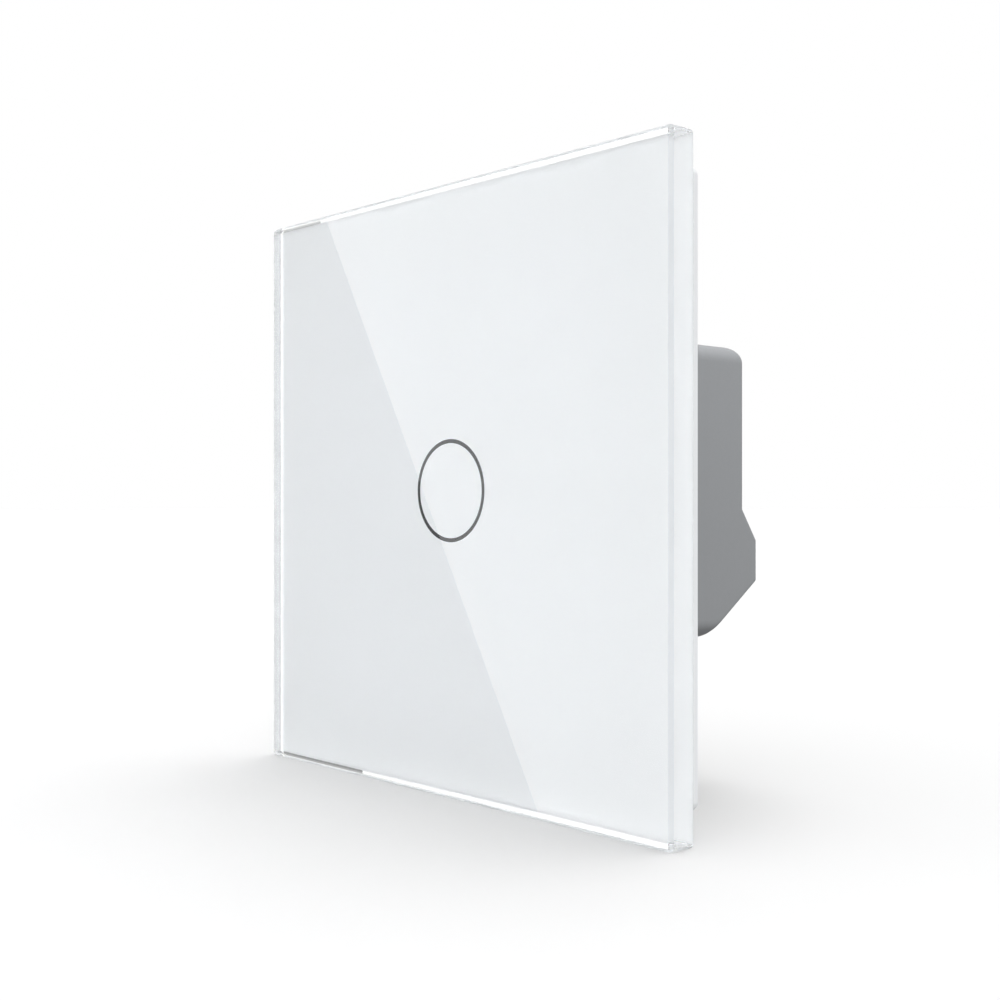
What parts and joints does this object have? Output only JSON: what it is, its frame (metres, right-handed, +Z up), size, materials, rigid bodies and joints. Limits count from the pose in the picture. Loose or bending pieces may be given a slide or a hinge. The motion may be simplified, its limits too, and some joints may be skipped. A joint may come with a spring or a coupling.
{
  "type": "touch light switch",
  "caption": "Square frameless glass touch light switch with a ring-marked key, a white frame behind the glass, a steel mounting plate and a grey wall-box housing with screw terminals.",
  "frame": {"origin": "centre of the mounting plate's back face, midway between its fixing slots, on the wall plane", "axes": "+X to the right seen from the room, +Y into the wall, +Z up"},
  "size_m": [0.08, 0.0343, 0.08],
  "materials": {
    "clear_glass": "clear polished float glass",
    "white_ink": "white screen print seen through glass",
    "dark_ink": "dark see-through ink",
    "adhesive_foam": "white double-sided tape",
    "white_plastic": "satin moulded white plastic",
    "zinc_steel": "zinc-plated steel",
    "grey_plastic": "fine-textured grey moulded plastic",
    "black_plastic": "black moulded plastic",
    "blue_plastic": "blue plastic",
    "board_green": "green lacquered glass-fibre board",
    "brass": "brass",
    "copper_wire": "enamelled copper wire",
    "silver_contact": "silver alloy",
    "conductive_foam": "black conductive foam",
    "clear_plastic": "frosted clear acrylic",
    "lamp": "white lamp package",
    "ceramic": "ceramic",
    "yellow_plastic": "yellow plastic case",
    "varistor_coat": "blue epoxy coat",
    "ferrite": "ferrite"
  },
  "bodies": {
    "module": {"front_cover": "white_plastic", "mounting_plate": "zinc_steel", "cover_screws": "zinc_steel", "relay_yoke": "zinc_steel", "relay_core": "zinc_steel", "rear_housing": "grey_plastic", "terminal_block": "black_plastic", "header_body": "black_plastic", "board_socket": "black_plastic", "relay_base": "black_plastic", "touch_chip": "black_plastic", "bridge_rectifier": "black_plastic", "switch_transistor": "black_plastic", "voltage_regulator": "black_plastic", "relay_spool": "black_plastic", "fuse": "black_plastic", "relay_case": "blue_plastic", "supply_capacitor": "blue_plastic", "sensor_board": "board_green", "power_board": "board_green", "line_bar": "brass", "load_bar": "brass", "fixed_contact": "brass", "touch_electrode": "brass", "header_pins": "brass", "relay_pins": "brass", "relay_coil": "copper_wire", "choke_winding": "copper_wire", "touch_pad": "conductive_foam", "light_ring": "clear_plastic", "indicator_leds": "lamp", "sensor_passives": "ceramic", "film_capacitor": "yellow_plastic", "varistor": "varistor_coat", "choke_core": "ferrite"},
    "panel": {"glass_panel": "clear_glass", "white_print": "white_ink", "ring_mark": "dark_ink", "panel_tape": "adhesive_foam", "panel_frame": "white_plastic"},
    "line_screw": {"line_screw": "brass"},
    "load_screw": {"load_screw": "brass"},
    "line_clamp": {"line_clamp": "zinc_steel"},
    "load_clamp": {"load_clamp": "zinc_steel"},
    "armature": {"relay_armature": "zinc_steel", "contact_blade": "brass", "moving_contact": "silver_contact"}
  },
  "joints": [
    {"name": "panel_pull_off", "type": "slide", "parent": "module", "child": "panel", "axis": [0, -1, 0], "range_m": [0, 0.03]},
    {"name": "line_screw_turn", "type": "hinge", "parent": "module", "child": "line_screw", "pos_m": [-0.007, 0.02206, -0.00604], "axis": [0, -0.8192, -0.5736], "range_deg": [0, 1800]},
    {"name": "line_clamp_rise", "type": "slide", "parent": "module", "child": "line_clamp", "axis": [0, 0.8192, 0.5736], "range_m": [0, 0.0025]},
    {"name": "load_screw_turn", "type": "hinge", "parent": "module", "child": "load_screw", "pos_m": [0.007, 0.02206, -0.00604], "axis": [0, -0.8192, -0.5736], "range_deg": [0, 1800]},
    {"name": "load_clamp_rise", "type": "slide", "parent": "module", "child": "load_clamp", "axis": [0, 0.8192, 0.5736], "range_m": [0, 0.0025]},
    {"name": "relay_armature_rock", "type": "hinge", "parent": "module", "child": "armature", "pos_m": [-0.0166, 0.01715, 0.0105], "axis": [0, 0, -1], "range_deg": [0, 4], "stiffness_Nm_per_rad": 0.03, "springref_deg": -5.73}
  ],
  "couplings": [
    {"joint": "line_screw_turn", "follows": "line_clamp_rise", "rad_per_m": 12566},
    {"joint": "load_screw_turn", "follows": "load_clamp_rise", "rad_per_m": 12566}
  ]
}
